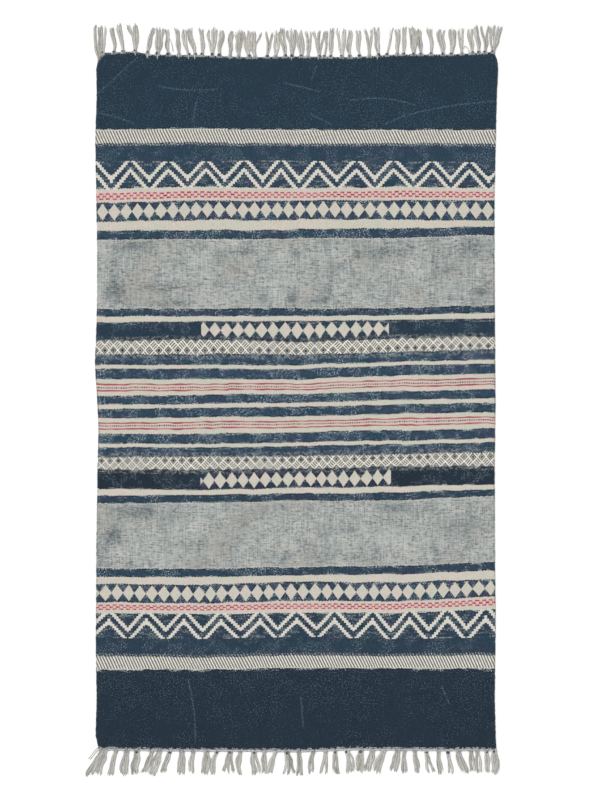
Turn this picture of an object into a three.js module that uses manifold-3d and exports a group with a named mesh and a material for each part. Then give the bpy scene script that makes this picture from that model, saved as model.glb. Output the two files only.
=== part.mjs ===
// A flat woven cotton rug: one cloth with a row of tied tassels at each end.
// Millimetres. The origin is on the floor under the middle of the cloth, +Y runs along the rug and +Z is up.
import * as THREE from "three";
import { mergeVertices } from "three/addons/utils/BufferGeometryUtils.js";
import Module from "manifold-3d";

const wasm = await Module();
wasm.setup();

// Cloth.
const CLOTH_THICKNESS = 3;
const EDGE_ROUNDING = 1.1; // how far the upper and lower faces stand back from the outline
const COCKLE_HEIGHT = 0.28; // rise and fall of the upper face
const GRID_STEP = 42; // distance between the points of the upper face
const CORNER_STEPS = [4, 8, 22]; // finer points next to each edge, measured in from it

// Outline of the cloth. Each long edge: [along the rug, distance out from the middle line].
const LEFT_EDGE = [
  [-610, 347],
  [-587, 352.5],
  [-525, 350.5],
  [-437, 352],
  [-253, 351],
  [-120, 349],
  [-50, 347.5],
  [-27, 348],
  [64, 353.5],
  [161, 350],
  [267, 349.5],
  [460, 353],
  [531, 350.5],
  [587, 351],
  [597.5, 349],
  [603, 343],
];
const RIGHT_EDGE = [
  [-611, 353],
  [-596, 352],
  [-525, 350],
  [-385, 351.5],
  [-226, 350],
  [-103, 350],
  [3, 351.5],
  [240, 349.5],
  [355, 349.5],
  [531, 353.5],
  [575, 355.5],
  [596, 355.5],
  [603, 353.5],
  [610, 350.5],
];
// Each end: [across the rug, distance along from the middle].
const TOP_END = [
  [-343, 603],
  [-339, 607],
  [-335, 610.5],
  [-322, 610],
  [-285, 612.5],
  [-257, 607],
  [-169, 605.5],
  [-81, 602],
  [7, 603.5],
  [95, 602],
  [183, 607],
  [271, 607],
  [338, 610.5],
  [345, 611.5],
  [350.5, 610],
];
const BOTTOM_END = [
  [-347, -610],
  [-257, -611.5],
  [-81, -612.5],
  [7, -613.5],
  [95, -610],
  [271, -611.5],
  [353, -611],
];

// Heading strip that ties the roots of the tassels together.
const PART_GAP = 0.43; // keeps 0.3 square to the slanted corner
const STRIP_WIDTH = 4;
const STRIP_HEIGHT = 2.7;

// Tassels. Each word of a chart is one tassel, from left to right: its distance in millimetres from the one before,
// how far its tip stands to the right of its root, and the letter of its bundle. The first distance is from the end
// of the strip.
const TOP_CHART =
  "2-4f 21-4s 16-7s 21+0l 22+9s 18+4w 19-4s 18-4s 17-8s 12-12s 12-2s 18+5l 13+4s 18+4s 15-2w 18-6w 11-5r 21+4v " +
  "15+2s 17-6s 12+1l 17-4w 11+2v 20-4y 9+2t 11-3s 20+5l 14+1s 17-2s 17+0v 16-8s 15+10t 18-3s 11+2s 18-8w 13-2s " +
  "18-3s 21-4w 15+2w 18-2s 18-3s 12-4s 11+0v 14+6f";
const BOTTOM_CHART =
  "8-18F 22-9s 19-4w 18-3w 26-14s 13-13w 18-11s 22-2w 20-3s 23-3w 18-8s 24-2y 18-1s 24+5w 18-3s 19-9s 21+3y " +
  "21+1s 25-3s 22-3v 17+3s 21+6w 24-3w 20-10w 20-12w 25-6w 12-1s 18+4s 20+8v 22+3s 16+4s 19+12w 22+5s 11+2s " +
  "16+0s 14+1w";
// Tips of the locks of each bundle, measured across from the tassel's own tip.
const BUNDLE = {
  t: [0],
  s: [-2.4, 2.4],
  w: [-4.7, 0, 4.7],
  v: [-5, 5],
  y: [-8.5, 0, 8.5],
  l: [-12, -2.4, 2.4],
  r: [-2.4, 2.4, 11],
  f: [-9, -3, 3, 9],
  F: [-12, -6, 0, 6, 12],
};
const TOP_LENGTH = 44;
const BOTTOM_LENGTH = 36;
const CORNER_EXTRA = 9; // the bottom tassels grow longer by this much towards the left corner
const CORNER_REACH = 40;
const LENGTH_JITTER = 2.5;
const LOCK_LENGTH_JITTER = 2;
const LOCK_WIDTH = 4;
const LOCK_PITCH = 4.7; // distance between the locks of a bundle where they leave the knot
const TASSEL_CLEARANCE = 1; // least distance between the tips of two tassels
const KNOT_REACH = 1; // how far the middle of a knot stands beyond the strip
const KNOT_HALF_WIDTH = 4.2;
const KNOT_PINCH = 0.42; // share of the lock pitch that is left inside the knot

// Rings of a lock, root first: [share of its length, share of its width, height].
const LOCK_RINGS = [
  [0, 0.9, 3],
  [0.32, 1, 3.2],
  [1, 0.8, 1.8],
];
// Rings of a knot: [distance along the tassel, share of its width, height].
const KNOT_RINGS = [
  [-2.8, 0.6, 3.2],
  [0, 1, 4.8],
  [2.8, 0.7, 3.4],
];

// A repeatable number between -1 and 1 for each seed.
function jitter(seed) {
  const wave = Math.sin(seed * 12.9898) * 43758.5453;
  return 2 * (wave - Math.floor(wave)) - 1;
}

// The second column of a table at a place in its first column, on the straight line between two rows.
function lookUp(table, place) {
  const last = table.length - 1;
  const after = table.findIndex((row) => row[0] >= place);
  if (after <= 0) return table[after === 0 ? 0 : last][1];
  const [x0, y0] = table[after - 1];
  const [x1, y1] = table[after];
  return y0 + ((y1 - y0) * (place - x0)) / (x1 - x0);
}

const mix = (a, b, share) => a + (b - a) * share;

// Shares from 0 to 1 along an edge: close together at both corners, evenly spaced between them.
function stations(length) {
  const inset = CORNER_STEPS[CORNER_STEPS.length - 1];
  const inner = length - 2 * inset;
  const cells = Math.round(inner / GRID_STEP);
  const near = [0, ...CORNER_STEPS.slice(0, -1)];
  const middle = Array.from({ length: cells + 1 }, (_, i) => inset + (inner * i) / cells);
  const far = near.map((step) => length - step).reverse();
  return [...near, ...middle, ...far].map((place) => place / length);
}

// The four edges of the cloth as points for a share between 0 and 1.
function edgeAlong(table, side) {
  const first = table[0][0];
  const last = table[table.length - 1][0];
  return (share) => {
    const y = mix(first, last, share);
    return [side * lookUp(table, y), y];
  };
}

function edgeAcross(table) {
  const first = table[0][0];
  const last = table[table.length - 1][0];
  const at = (share) => {
    const x = mix(first, last, share);
    return [x, lookUp(table, x)];
  };
  return Object.assign(at, { table });
}

// Places of the points across and along the rug, the same for the cloth and the strips beside it.
const ACROSS = stations(RIGHT_EDGE[0][1] + LEFT_EDGE[0][1]);
const ALONG = stations(TOP_END[0][1] - BOTTOM_END[0][1]);

const leftEdge = edgeAlong(LEFT_EDGE, -1);
const rightEdge = edgeAlong(RIGHT_EDGE, 1);
const topEnd = edgeAcross(TOP_END);
const bottomEnd = edgeAcross(BOTTOM_END);

// A point of the cloth between its four edges, u across and v along.
function clothPoint(u, v) {
  const [left, right, low, high] = [leftEdge(v), rightEdge(v), bottomEnd(u), topEnd(u)];
  return [0, 1].map((axis) => {
    const acrossEdges = mix(left[axis], right[axis], u);
    const alongEdges = mix(low[axis], high[axis], v);
    const cornersLow = mix(leftEdge(0)[axis], rightEdge(0)[axis], u);
    const cornersHigh = mix(leftEdge(1)[axis], rightEdge(1)[axis], u);
    return acrossEdges + alongEdges - mix(cornersLow, cornersHigh, v);
  });
}

// Which way is in from the border at a grid line: 1 from the first line, -1 from the last, 0 between them.
const inward = (index, count) => (index === 0 ? 1 : index === count - 1 ? -1 : 0);

function cockle(x, y) {
  const long = Math.sin(x / 71 + y / 118) + Math.sin(y / 83 - x / 157);
  const short = Math.sin(x / 39 + 1.7) * Math.sin(y / 47 + 0.6);
  return COCKLE_HEIGHT * (0.4 * long + 0.2 * short);
}

// Faces between two closed rings of the same number of points, the second above or after the first.
function joinRings(faces, first, second) {
  first.forEach((a, i) => {
    const next = (i + 1) % first.length;
    faces.push([a, first[next], second[next]], [a, second[next], second[i]]);
  });
}

function geometryOf(points, faces) {
  const geometry = new THREE.BufferGeometry();
  geometry.setAttribute("position", new THREE.Float32BufferAttribute(points.flat(), 3));
  geometry.setIndex(faces.flat());
  return geometry;
}

// The cloth: a flat underside, a rounded edge and an upper face with a little rise and fall.
function clothGeometry() {
  const points = [];
  const faces = [];
  const addPoint = (row, column, inset, height) => {
    const [x, y] = clothPoint(ACROSS[column], ALONG[row]);
    const shiftX = inset * inward(column, ACROSS.length);
    const shiftY = inset * inward(row, ALONG.length);
    points.push([x + shiftX, y + shiftY, height ?? CLOTH_THICKNESS + cockle(x, y)]);
    return points.length - 1;
  };
  const upper = ALONG.map((_, row) => ACROSS.map((_, column) => addPoint(row, column, EDGE_ROUNDING)));
  for (let row = 1; row < ALONG.length; row++)
    for (let column = 1; column < ACROSS.length; column++) {
      const [a, b] = upper[row - 1].slice(column - 1, column + 1);
      const [d, c] = upper[row].slice(column - 1, column + 1);
      faces.push([a, b, c], [a, c, d]);
    }

  // The border of the upper face, anticlockwise from the bottom left corner.
  const lastRow = ALONG.length - 1;
  const lastColumn = ACROSS.length - 1;
  const border = [
    ...ACROSS.slice(1).map((_, step) => [0, step]),
    ...ALONG.slice(1).map((_, step) => [step, lastColumn]),
    ...ACROSS.slice(1).map((_, step) => [lastRow, lastColumn - step]),
    ...ALONG.slice(1).map((_, step) => [lastRow - step, 0]),
  ];
  const borderRing = (inset, height) => border.map(([row, column]) => addPoint(row, column, inset, height));
  const lowest = borderRing(EDGE_ROUNDING, 0);
  const widest = borderRing(0, CLOTH_THICKNESS / 2);
  const highest = border.map(([row, column]) => upper[row][column]);
  joinRings(faces, lowest, widest);
  joinRings(faces, widest, highest);
  const outline = lowest.map((index) => new THREE.Vector2(points[index][0], points[index][1]));
  const underside = THREE.ShapeUtils.triangulateShape(outline, []);
  underside.forEach(([a, b, c]) => faces.push([lowest[a], lowest[c], lowest[b]]));
  return geometryOf(points, faces);
}

// A closed body through rings of four corners, each corner list anticlockwise seen from the far end.
function throughRings(rings) {
  const faces = [];
  const indices = rings.map((ring, step) => ring.map((_, corner) => step * 4 + corner));
  for (let step = 1; step < rings.length; step++) joinRings(faces, indices[step - 1], indices[step]);
  const [a, b, c, d] = indices[0];
  const [e, f, g, h] = indices[indices.length - 1];
  faces.push([a, c, b], [a, d, c], [e, f, g], [e, g, h]);
  return geometryOf(rings.flat(), faces);
}

// A ring that stands on the floor at (x, y), square to the heading, so that its lower side lies level.
function floorRing(x, y, heading, width, height) {
  const side = [(heading[1] * width) / 2, (-heading[0] * width) / 2];
  return [
    [x + side[0], y + side[1], 0],
    [x - side[0], y - side[1], 0],
    [x - side[0], y - side[1], height],
    [x + side[0], y + side[1], height],
  ];
}

function toSolid(geometry) {
  const merged = mergeVertices(geometry, 1e-4);
  const mesh = new wasm.Mesh({
    numProp: 3,
    vertProperties: new Float32Array(merged.getAttribute("position").array),
    triVerts: new Uint32Array(merged.index.array),
  });
  return new wasm.Manifold(mesh);
}

function toGeometry(solid) {
  const mesh = solid.getMesh();
  const geometry = new THREE.BufferGeometry();
  geometry.setAttribute("position", new THREE.Float32BufferAttribute(mesh.vertProperties, 3));
  geometry.setIndex(new THREE.Uint32BufferAttribute(mesh.triVerts, 1));
  return geometry;
}

// Where each tassel of a chart stands, where its tip lies and how long it is.
function tasselsOf(chart, start, length, extra, seed) {
  let root = start;
  let freeFrom = -Infinity;
  return chart.split(" ").map((word, index) => {
    const [, gap, lean, letter] = word.match(/^(\d+)([+-]\d+)(\w)$/);
    const tips = BUNDLE[letter];
    root += Number(gap);
    const leftmost = freeFrom + LOCK_WIDTH / 2 - tips[0];
    const tip = Math.max(root + Number(lean), leftmost);
    freeFrom = tip + tips[tips.length - 1] + LOCK_WIDTH / 2 + TASSEL_CLEARANCE;
    const cornerShare = Math.exp((start - root) / CORNER_REACH);
    const reach = length + extra * cornerShare + LENGTH_JITTER * jitter(seed + index);
    return { root, tip, tips, length: reach, number: seed + index };
  });
}

// One lock: it leaves the knot pinched to its neighbours, stands clear of them and runs out to its own tip.
function lockGeometry(tassel, lock, baseY, direction) {
  const length = tassel.length + LOCK_LENGTH_JITTER * jitter(tassel.number + 0.31 * (lock + 1));
  const pitch = LOCK_PITCH * (lock - (tassel.tips.length - 1) / 2);
  const offsets = [KNOT_PINCH * pitch, pitch, tassel.tips[lock]];
  const rings = LOCK_RINGS.map(([share, width, height], step) => {
    const x = mix(tassel.root, tassel.tip, share) + offsets[step];
    return floorRing(x, baseY + direction * share * length, [0, direction], width * LOCK_WIDTH, height);
  });
  return throughRings(rings);
}

function knotGeometry(x, baseY, direction) {
  return throughRings(
    KNOT_RINGS.map(([along, width, height]) =>
      floorRing(x, baseY + direction * along, [0, direction], 2 * KNOT_HALF_WIDTH * width, height),
    ),
  );
}

// A fringe: the heading strip along one end of the cloth with its knots and locks, up from the cloth where the
// direction is 1 and down from it where it is -1.
function fringeGeometry(end, tassels, direction) {
  const places = direction > 0 ? ACROSS : ACROSS.slice().reverse();
  const near = direction * PART_GAP;
  const far = direction * (PART_GAP + STRIP_WIDTH);
  const strip = throughRings(
    places.map((share) => {
      const [x, y] = end(share);
      return [
        [x, y + near, 0],
        [x, y + far, 0],
        [x, y + far, STRIP_HEIGHT],
        [x, y + near, STRIP_HEIGHT],
      ];
    }),
  );
  const solids = [toSolid(strip)];
  for (const tassel of tassels) {
    const besideKnot = [-KNOT_HALF_WIDTH, 0, KNOT_HALF_WIDTH].map((side) => lookUp(end.table, tassel.root + side));
    const outermost = direction * Math.max(...besideKnot.map((y) => direction * y));
    const baseY = outermost + far + direction * KNOT_REACH;
    solids.push(toSolid(knotGeometry(tassel.root, baseY, direction)));
    tassel.tips.forEach((_, lock) => solids.push(toSolid(lockGeometry(tassel, lock, baseY, direction))));
  }
  return toGeometry(wasm.Manifold.union(solids));
}

function clothMesh(name, geometry, color) {
  const mesh = new THREE.Mesh(
    geometry,
    new THREE.MeshStandardMaterial({ color, roughness: 0.95, metalness: 0 }),
  );
  mesh.name = name;
  return mesh;
}

const NAVY = 0x3b4f60;
const UNDYED = 0xb7b3ab;
const TOP_SEED = 11;
const BOTTOM_SEED = 211;

const topTassels = tasselsOf(TOP_CHART, topEnd(0)[0], TOP_LENGTH, 0, TOP_SEED);
const bottomTassels = tasselsOf(BOTTOM_CHART, bottomEnd(0)[0], BOTTOM_LENGTH, CORNER_EXTRA, BOTTOM_SEED);

const rug = new THREE.Group();
rug.add(
  clothMesh("rug_cloth", clothGeometry(), NAVY),
  clothMesh("fringe_top", fringeGeometry(topEnd, topTassels, 1), UNDYED),
  clothMesh("fringe_bottom", fringeGeometry(bottomEnd, bottomTassels, -1), UNDYED),
);

export default rug;
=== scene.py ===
import math

import bpy
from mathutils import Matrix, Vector


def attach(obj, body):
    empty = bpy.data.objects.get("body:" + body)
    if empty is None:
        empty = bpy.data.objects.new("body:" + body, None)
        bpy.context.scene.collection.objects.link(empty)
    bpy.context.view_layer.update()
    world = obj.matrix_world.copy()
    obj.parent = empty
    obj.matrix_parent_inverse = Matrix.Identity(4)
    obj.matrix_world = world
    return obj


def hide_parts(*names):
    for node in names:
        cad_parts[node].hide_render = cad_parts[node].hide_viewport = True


# Looks of a flat woven cotton rug: a block printed cloth with a row of tied tassels at each end.
# Sizes are in millimetres until a mesh is made. +Y runs along the rug, +Z is up and the floor is at zero.
MM = 0.001

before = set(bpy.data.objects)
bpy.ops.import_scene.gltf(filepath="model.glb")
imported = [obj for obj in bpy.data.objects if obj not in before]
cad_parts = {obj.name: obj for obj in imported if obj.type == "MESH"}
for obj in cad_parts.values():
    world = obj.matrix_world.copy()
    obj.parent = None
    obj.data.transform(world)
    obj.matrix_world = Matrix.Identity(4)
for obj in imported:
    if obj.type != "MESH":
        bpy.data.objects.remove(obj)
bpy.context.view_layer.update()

# Shape of the cloth
CLOTH_THICKNESS = 3
EDGE_RADIUS = 1.5
COCKLE_HEIGHT = 0.28
ROW_STEP = 3.5
COLUMN_STEP = 6.2
EDGE_STEPS = [0.22, 0.75, 1.5, 4]
WEFT_TURN = 0.38
WEFT_TURN_REACH = 5

# Outline of the cloth. Each long edge: along the rug, distance out from the middle line.
LEFT_EDGE = [
    (-610, 347), (-587, 352.5), (-525, 350.5), (-437, 352), (-253, 351), (-120, 349), (-50, 347.5),
    (-27, 348), (64, 353.5), (161, 350), (267, 349.5), (460, 353), (531, 350.5), (587, 351),
    (597.5, 349), (603, 343),
]
RIGHT_EDGE = [
    (-611, 353), (-596, 352), (-525, 350), (-385, 351.5), (-226, 350), (-103, 350), (3, 351.5),
    (240, 349.5), (355, 349.5), (531, 353.5), (575, 355.5), (596, 355.5), (603, 353.5), (610, 350.5),
]
# Each end: across the rug, distance along from the middle.
TOP_END = [
    (-343, 603), (-339, 607), (-335, 610.5), (-322, 610), (-285, 612.5), (-257, 607), (-169, 605.5),
    (-81, 602), (7, 603.5), (95, 602), (183, 607), (271, 607), (338, 610.5), (345, 611.5), (350.5, 610),
]
BOTTOM_END = [
    (-347, -610), (-257, -611.5), (-81, -612.5), (7, -613.5), (95, -610), (271, -611.5), (353, -611),
]


def jitter(seed):
    """A repeatable number between -1 and 1 for each seed."""
    wave = math.sin(seed * 12.9898) * 43758.5453
    return 2 * (wave - math.floor(wave)) - 1


def mix(a, b, share):
    return a + (b - a) * share


def look_up(table, place):
    """The second column of a table at a place in its first column, on the line between two rows."""
    if place <= table[0][0]:
        return table[0][1]
    for (x0, y0), (x1, y1) in zip(table, table[1:]):
        if place <= x1:
            return mix(y0, y1, (place - x0) / (x1 - x0))
    return table[-1][1]


def side_edges(share):
    """The points of the left and the right edge at a share of the way along the rug."""
    points = []
    for table, side in ((LEFT_EDGE, -1), (RIGHT_EDGE, 1)):
        y = mix(table[0][0], table[-1][0], share)
        points.append(Vector((side * look_up(table, y), y)))
    return points


def end_edges(share):
    """The points of the bottom and the top end at a share of the way across the rug."""
    points = []
    for table in (BOTTOM_END, TOP_END):
        x = mix(table[0][0], table[-1][0], share)
        points.append(Vector((x, look_up(table, x))))
    return points


def stations(length, step):
    """Distances from one edge to the other: close together at both, evenly spaced between them."""
    inner = length - 2 * EDGE_STEPS[-1]
    cells = round(inner / step)
    near = [0, *EDGE_STEPS[:-1]]
    middle = [EDGE_STEPS[-1] + inner * i / cells for i in range(cells + 1)]
    return [*near, *middle, *(length - place for place in reversed(near))]


def bulge(distance):
    """Share of the full thickness at a distance in from the edge, which is rounded."""
    return math.sqrt(1 - (1 - min(distance, EDGE_RADIUS) / EDGE_RADIUS) ** 2)


def cockle(x, y):
    long_waves = math.sin(x / 71 + y / 118) + math.sin(y / 83 - x / 157)
    short_waves = math.sin(x / 39 + 1.7) * math.sin(y / 47 + 0.6)
    return COCKLE_HEIGHT * (0.4 * long_waves + 0.2 * short_waves)


def cloth_grid():
    """Rows of (x, y, share of the full thickness, distance from a long edge, distance from an end)."""
    width = RIGHT_EDGE[0][1] + LEFT_EDGE[0][1]
    length = TOP_END[0][1] - BOTTOM_END[0][1]
    across = stations(width, COLUMN_STEP)
    along = stations(length, ROW_STEP)
    ends = [end_edges(place / width) for place in across]
    bottom_corners, top_corners = side_edges(0), side_edges(1)
    grid = []
    for row, reach in enumerate(along):
        v = reach / length
        sides = side_edges(v)
        turn = WEFT_TURN * jitter(row + 0.5), WEFT_TURN * jitter(row + 900.5)
        line = []
        for place, end in zip(across, ends):
            u = place / width
            point = mix(*sides, u) + mix(*end, v) - mix(mix(*bottom_corners, u), mix(*top_corners, u), v)
            point.x += turn[0] * math.exp(-place / WEFT_TURN_REACH)
            point.x += turn[1] * math.exp((place - width) / WEFT_TURN_REACH)
            from_side = min(place, width - place)
            from_end = min(reach, length - reach)
            line.append((*point, bulge(from_side) * bulge(from_end), from_side, from_end))
        grid.append(line)
    return grid


# Layout of the print
# The design is the same on both sides of the middle line. Each row is one line of it: its distance from
# the middle line in the design, then where it was printed at the places of PRINT_COLUMNS across the cloth.
PRINT_COLUMNS = [-341, -169, 7, 183, 338]
PRINT_LINES = [
    (474, 478, 480, 478, 478, 478),
    (450, 453, 455, 453, 454, 452),
    (419, 424, 424, 424, 424, 421),
    (373, 373, 377, 375, 377, 374),
    (354, 352, 355, 355.5, 356, 355.5),
    (320.5, 318, 322, 322, 322, 320),
    (304, 300, 301, 302, 304, 308),
    (290, 286, 287, 288, 289, 295),
    (169.5, 164, 164, 164, 165, 169),
    (156.5, 150, 150.5, 150.5, 152, 156),
    (146.5, 138, 141, 141, 143, 145),
    (112.5, 108, 110, 106, 113, 115),
    (86.5, 80, 80, 80, 85, 89),
    (47.5, 41, 41, 40, 47.5, 50),
    (18.5, 8, 11, 12, 17, 20),
    (0, -9, -7.5, -5.5, -1, 2),
    (-18.5, -28, -26.5, -24.5, -20, -17.5),
    (-47.5, -58, -58, -55.5, -52, -48.5),
    (-86.5, -95, -95, -93.5, -90.5, -86),
    (-112.5, -120.5, -121.5, -119.5, -116, -114.5),
    (-146.5, -153, -155, -152, -148.5, -146),
    (-156.5, -166, -164, -163, -160, -155),
    (-169.5, -179.5, -178, -175, -173.5, -167),
    (-290, -294, -295.5, -293, -290.5, -283.5),
    (-304, -308, -308, -305.5, -303.5, -296.5),
    (-320.5, -322, -324, -318.5, -320.5, -314),
    (-354, -355.5, -356.5, -352, -353, -346),
    (-373, -372, -374, -370.5, -371.5, -365),
    (-419, -416, -419, -414.5, -418, -415.5),
    (-450, -448, -449.5, -446, -448, -445.5),
    (-474, -472.5, -471.5, -469, -470, -470),
]


# Dark clouds in the grey bands: middle across and along, half width, half height, strength.
SMUDGES = [
    (-288, 274, 32, 10, 0.6), (-318, 193, 17, 20, 0.7), (-322, 240, 4, 36, 0.35),
    (-230, 201, 45, 8, 0.5), (-137, 249, 8, 14, 0.4), (-98, 263, 32, 6, 0.45),
    (-204, 245, 7, 11, 0.4), (-137, 205, 9, 9, 0.45), (-221, 173, 50, 6, 0.45),
    (0, 261, 8, 10, 0.45), (-7, 182, 7, 12, 0.75), (-58, 182, 8, 8, 0.5),
    (39, 178, 18, 8, 0.55), (60, 237, 4, 20, 0.45), (109, 258, 8, 9, 0.7),
    (148, 263, 27, 12, 0.5), (196, 272, 16, 15, 0.45), (243, 244, 4, 34, 0.5),
    (306, 272, 25, 14, 0.5), (271, 231, 22, 12, 0.45), (324, 194, 14, 8, 0.75),
    (271, 182, 24, 4, 0.5), (-274, -194, 40, 12, 0.6), (-323, -235, 14, 16, 0.8),
    (-344, -265, 9, 22, 0.4), (-169, -252, 42, 6, 0.3), (-95, -214, 6, 10, 0.3),
    (-54, -272, 22, 10, 0.4), (-17, -270, 5, 10, 0.75), (87, -226, 22, 8, 0.4),
    (95, -272, 45, 8, 0.35), (141, -260, 8, 8, 0.5), (175, -187, 38, 8, 0.55),
    (245, -260, 5, 13, 0.75), (289, -222, 30, 14, 0.4), (306, -191, 5, 14, 0.4),
]


def smudge(x, y):
    """Strength of the dark clouds at a point, from 0 to 1."""
    clear = 1
    for across, along, half_width, half_height, strength in SMUDGES:
        away = ((x - across) / half_width) ** 2 + ((y - along) / half_height) ** 2
        if away < 6:
            clear *= 1 - strength * math.exp(-away)
    return 1 - clear


def design_place(x, y):
    """Where a point of the cloth lies in the design, measured along the rug."""
    lines = [(look_up(list(zip(PRINT_COLUMNS, places)), x), design) for design, *places in PRINT_LINES]
    if y >= lines[0][0]:
        return lines[0][1] + y - lines[0][0]
    if y <= lines[-1][0]:
        return lines[-1][1] + y - lines[-1][0]
    return look_up(lines[::-1], y)


# Mesh of the cloth
TOP_SHARE = 0.8
MAP_MARGIN = 0.004


def make_object(name, points, faces, materials, material_of=None):
    mesh = bpy.data.meshes.new(name)
    mesh.from_pydata([Vector(point) * MM for point in points], [], faces)
    for material in materials:
        mesh.materials.append(material)
    if material_of:
        mesh.polygons.foreach_set("material_index", material_of)
    mesh.polygons.foreach_set("use_smooth", [True] * len(faces))
    piece = bpy.data.objects.new(name, mesh)
    bpy.context.scene.collection.objects.link(piece)
    return piece


def fill_map(mesh, name, place_of):
    """A UV map whose value at each face corner is place_of(face, vertex)."""
    layer = mesh.uv_layers.new(name=name)
    values = []
    for face in mesh.polygons:
        for vertex in face.vertices:
            values.extend(place_of(face, vertex))
    layer.data.foreach_set("uv", values)


def keep_values(mesh, name, triples):
    """Three numbers at each point of a mesh, which its material reads by name."""
    attribute = mesh.attributes.new(name, "FLOAT_VECTOR", "POINT")
    attribute.data.foreach_set("vector", [number for triple in triples for number in triple])


def make_cloth(materials):
    """An upper face with a little rise and fall and a flat underside, which meet at a rounded edge."""
    grid = cloth_grid()
    rows, columns = len(grid), len(grid[0])
    points = []
    wear = []
    upper = {}
    lower = {}
    middle = CLOTH_THICKNESS / 2
    for row, line in enumerate(grid):
        for column, (x, y, full, from_side, from_end) in enumerate(line):
            upper[row, column] = lower[row, column] = len(points)
            points.append((x, y, middle + (middle + cockle(x, y)) * full))
            wear.append((smudge(x, y), from_side, from_end))
            if full > 0:
                lower[row, column] = len(points)
                points.append((x, y, middle - middle * full))
                wear.append((0, from_side, from_end))
    faces = []
    for row in range(rows - 1):
        for column in range(columns - 1):
            corners = [(row, column), (row, column + 1), (row + 1, column + 1), (row + 1, column)]
            faces.append([upper[corner] for corner in corners])
            faces.append([lower[corner] for corner in reversed(corners)])
    sides = [index % 2 for index in range(len(faces))]
    cloth = make_object("rug_cloth_print", points, faces, materials, sides)
    keep_values(cloth.data, "wear", wear)
    places = [(x, design_place(x, y)) for x, y, _ in points]
    fill_map(cloth.data, "print", lambda face, vertex: [value * MM for value in places[vertex]])
    span = [(min(p[axis] for p in points), max(p[axis] for p in points)) for axis in (0, 1)]

    def flat_place(face, vertex):
        across, along = [(points[vertex][axis] - low) / (high - low) for axis, (low, high) in enumerate(span)]
        start, share = (TOP_SHARE, 1 - TOP_SHARE) if face.material_index else (0, TOP_SHARE)
        return (
            mix(start + MAP_MARGIN, start + share - MAP_MARGIN, across),
            mix(MAP_MARGIN, 1 - MAP_MARGIN, along),
        )

    fill_map(cloth.data, "OFBake", flat_place)
    return cloth


# Helpers for materials
LIGHT_LEVEL = 1.12


def dye(red, green, blue):
    """The colour of a cloth that shows as this screen colour in the light of the scene."""
    linear = [((c / 255 + 0.055) / 1.055) ** 2.4 for c in (red, green, blue)]
    return (*(c / LIGHT_LEVEL for c in linear), 1)


def math_method(operation):
    """A method that adds one Math node of that operation."""
    return lambda self, *others: add_node(self.tree, "Math", [self, *others], operation=operation)


class Sum:
    """A value in a material. Arithmetic on it adds the nodes that work it out; tests give 1 or 0."""

    __add__ = __radd__ = math_method("ADD")
    __sub__ = math_method("SUBTRACT")
    __mul__ = __rmul__ = math_method("MULTIPLY")
    __truediv__ = math_method("DIVIDE")
    __abs__ = math_method("ABSOLUTE")
    modulo = math_method("FLOORED_MODULO")
    whole = math_method("FLOOR")
    nearest = math_method("ROUND")
    sine = math_method("SINE")
    cosine = math_method("COSINE")
    either = math_method("MAXIMUM")
    both = math_method("MINIMUM")
    above = math_method("GREATER_THAN")
    below = math_method("LESS_THAN")
    near = math_method("COMPARE")
    snap = math_method("SNAP")
    pingpong = math_method("PINGPONG")

    def __init__(self, tree, socket):
        self.tree = tree
        self.socket = socket

    def flipped(self):
        """One minus this."""
        return add_node(self.tree, "Math", [1, self], operation="SUBTRACT")

    def between(self, low, high):
        return self.near((low + high) / 2, (high - low) / 2)

    def from_nearest(self, pitch):
        """Distance from the nearest multiple of the pitch."""
        return self.pingpong(pitch / 2)

    def in_steps(self, step):
        return (self + step / 2).snap(step)

    def cell(self, size):
        """Number of the cell of that size that this falls in."""
        return (self / size).whole()

    def ramp(self, low, high, start=0, end=1):
        """Runs softly from start to end while this runs from low to high."""
        inputs = [self, low, high, start, end]
        return add_node(self.tree, "MapRange", inputs, interpolation_type="SMOOTHSTEP")

    def blend(self, under, over):
        """The colour that runs from under to over while this runs from 0 to 1."""
        return add_node(self.tree, "MixRGB", [self, under, over])


def add_node(tree, kind, inputs=(), output=0, **settings):
    """A new node with its settings and inputs, as the Sum of one of its outputs."""
    node = tree.nodes.new("ShaderNode" + kind)
    for name, value in settings.items():
        setattr(node, name, value)
    named = inputs.items() if isinstance(inputs, dict) else enumerate(inputs)
    for slot, value in named:
        if isinstance(value, Sum):
            tree.links.new(value.socket, node.inputs[slot])
        else:
            node.inputs[slot].default_value = value
    return Sum(tree, node.outputs[output])


def joined(*values):
    return add_node(values[0].tree, "CombineXYZ", values)


def split(vector):
    """The three numbers of a vector or colour."""
    node = vector.tree.nodes.new("ShaderNodeSeparateXYZ")
    vector.tree.links.new(vector.socket, node.inputs[0])
    return [Sum(vector.tree, out) for out in node.outputs]


def chance(*cells):
    """A number from 0 to 1 that differs from cell to cell."""
    place = joined(*cells)
    return add_node(place.tree, "TexWhiteNoise", {"Vector": place}, noise_dimensions="3D")


def patches(x, y, size, seed, detail=1.0):
    """Soft random patches of about that size, from 0 to 1. A pair of sizes stretches them."""
    wide, tall = size if isinstance(size, tuple) else (size, size)
    place = joined(x / wide + seed * 7.3, y / tall + seed * 3.1)
    inputs = {"Vector": place, "Scale": 1.0, "Detail": detail, "Roughness": 0.6}
    return add_node(x.tree, "TexNoise", inputs, noise_dimensions="2D").ramp(0.25, 0.75)


def place_on_part(tree):
    """Place across and along the part, in millimetres."""
    x, y, _ = split(add_node(tree, "TexCoord", output=3))
    return x / MM, y / MM


def new_material(name):
    material = bpy.data.materials.new(name)
    material.use_nodes = True
    tree = material.node_tree
    return material, tree, tree.nodes["Principled BSDF"]


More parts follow.
